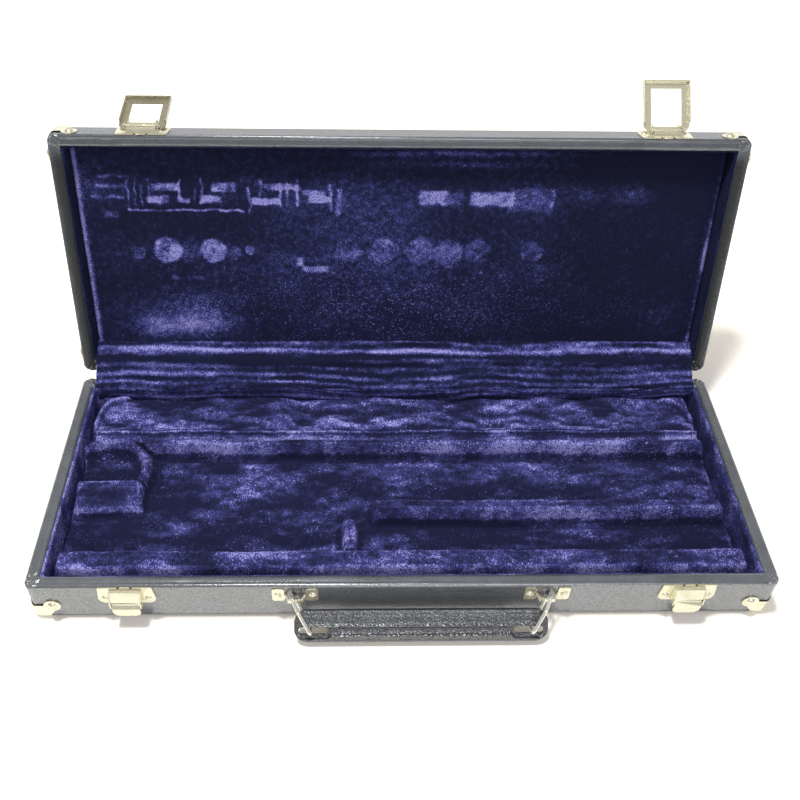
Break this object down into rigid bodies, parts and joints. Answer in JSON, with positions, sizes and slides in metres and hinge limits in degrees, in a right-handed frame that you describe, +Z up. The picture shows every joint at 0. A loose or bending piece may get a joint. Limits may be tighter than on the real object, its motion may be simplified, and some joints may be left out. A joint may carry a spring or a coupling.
{
  "type": "flute case",
  "caption": "Rectangular flute case standing open, with a plush-lined fitted base and lid, two bail latches, metal corners and a front handle on rings.",
  "frame": {"origin": "middle of the base's flat underside", "axes": "+X to the right along the case, +Y to the rear where the hinges are, +Z up"},
  "size_m": [0.4452, 0.2738, 0.2234],
  "materials": {
    "leatherette": "grained black leatherette",
    "plywood": "raw plywood, hidden under covering and lining",
    "plush": "dark blue-violet plush",
    "nickel_plate": "nickel-plated stamped steel, slightly tarnished",
    "bright_wire": "nickel-plated steel wire",
    "spring_steel": "plain spring steel, hidden",
    "moulded_grip": "moulded black grip with leather grain"
  },
  "bodies": {
    "case_base": {"base_corner_protectors": "nickel_plate", "base_corner_rivets": "nickel_plate", "base_covering": "leatherette", "base_floor_board": "plywood", "base_front_wall": "plywood", "base_hinge_flap": "plush", "base_left_wall": "plywood", "base_rear_wall": "plywood", "base_right_wall": "plywood", "base_underside_sheet": "leatherette", "base_wall_lining": "plush", "handle_plate_left": "nickel_plate", "handle_plate_right": "nickel_plate", "handle_plate_rivets": "nickel_plate", "hinge_base_leaves": "nickel_plate", "hinge_base_rivets": "nickel_plate", "hinge_pins": "nickel_plate", "insert_bed": "plush", "insert_divider": "plush", "insert_front_rail": "plush", "insert_left_end_ridge": "plush", "insert_left_ridge": "plush", "insert_middle_rail": "plush", "insert_rear_shelf": "plush", "insert_rod_lip": "plush", "insert_rod_ridge": "plush", "latch_base_plate_left": "nickel_plate", "latch_base_plate_right": "nickel_plate", "latch_base_rivets": "nickel_plate", "latch_lever_pin_left": "nickel_plate", "latch_lever_pin_right": "nickel_plate", "latch_spring_left": "spring_steel", "latch_spring_right": "spring_steel"},
    "case_lid": {"hinge_lid_leaves": "nickel_plate", "hinge_lid_rivets": "nickel_plate", "latch_bail_pin_left": "nickel_plate", "latch_bail_pin_right": "nickel_plate", "latch_lid_plate_left": "nickel_plate", "latch_lid_plate_right": "nickel_plate", "latch_lid_rivets": "nickel_plate", "lid_corner_protectors": "nickel_plate", "lid_corner_rivets": "nickel_plate", "lid_covering": "leatherette", "lid_front_wall": "plywood", "lid_hinge_flap": "plush", "lid_left_wall": "plywood", "lid_padded_panel": "plush", "lid_rear_wall": "plywood", "lid_right_wall": "plywood", "lid_top_board": "plywood", "lid_top_sheet": "leatherette", "lid_wall_lining": "plush"},
    "latch_bail_left": {"latch_bail_left": "nickel_plate"},
    "latch_bail_right": {"latch_bail_right": "nickel_plate"},
    "latch_lever_left": {"latch_lever_left": "nickel_plate"},
    "latch_lever_right": {"latch_lever_right": "nickel_plate"},
    "handle_ring_left": {"handle_ring_left": "bright_wire"},
    "handle_ring_right": {"handle_ring_right": "bright_wire"},
    "handle": {"handle_core": "spring_steel", "handle_grip": "moulded_grip"}
  },
  "joints": [
    {"name": "lid_hinge", "type": "hinge", "parent": "case_base", "child": "case_lid", "pos_m": [0, 0.0867, 0.0332], "axis": [1, 0, 0], "range_deg": [0, 105]},
    {"name": "bail_left_swing", "type": "hinge", "parent": "case_lid", "child": "latch_bail_left", "pos_m": [-0.162, 0.13718, 0.20074], "axis": [1, 0, 0], "range_deg": [0, 160]},
    {"name": "bail_right_swing", "type": "hinge", "parent": "case_lid", "child": "latch_bail_right", "pos_m": [0.166, 0.13718, 0.20074], "axis": [1, 0, 0], "range_deg": [-39, 121]},
    {"name": "lever_left_lift", "type": "hinge", "parent": "case_base", "child": "latch_lever_left", "pos_m": [-0.162, -0.0878, 0.0222], "axis": [-1, 0, 0], "range_deg": [0, 80]},
    {"name": "lever_right_lift", "type": "hinge", "parent": "case_base", "child": "latch_lever_right", "pos_m": [0.166, -0.0878, 0.0222], "axis": [-1, 0, 0], "range_deg": [0, 80]},
    {"name": "ring_left_swing", "type": "hinge", "parent": "case_base", "child": "handle_ring_left", "pos_m": [-0.0645, -0.08845, 0.02375], "axis": [-1, 0, 0], "range_deg": [0, 90]},
    {"name": "ring_right_swing", "type": "hinge", "parent": "case_base", "child": "handle_ring_right", "pos_m": [0.083, -0.08845, 0.02375], "axis": [-1, 0, 0], "range_deg": [0, 90]},
    {"name": "handle_swing", "type": "hinge", "parent": "handle_ring_left", "child": "handle", "pos_m": [0.00925, -0.099, 0.00915], "axis": [1, 0, 0], "range_deg": [0, 8]}
  ],
  "couplings": [
    {"joint": "ring_right_swing", "follows": "ring_left_swing", "ratio": 1}
  ]
}
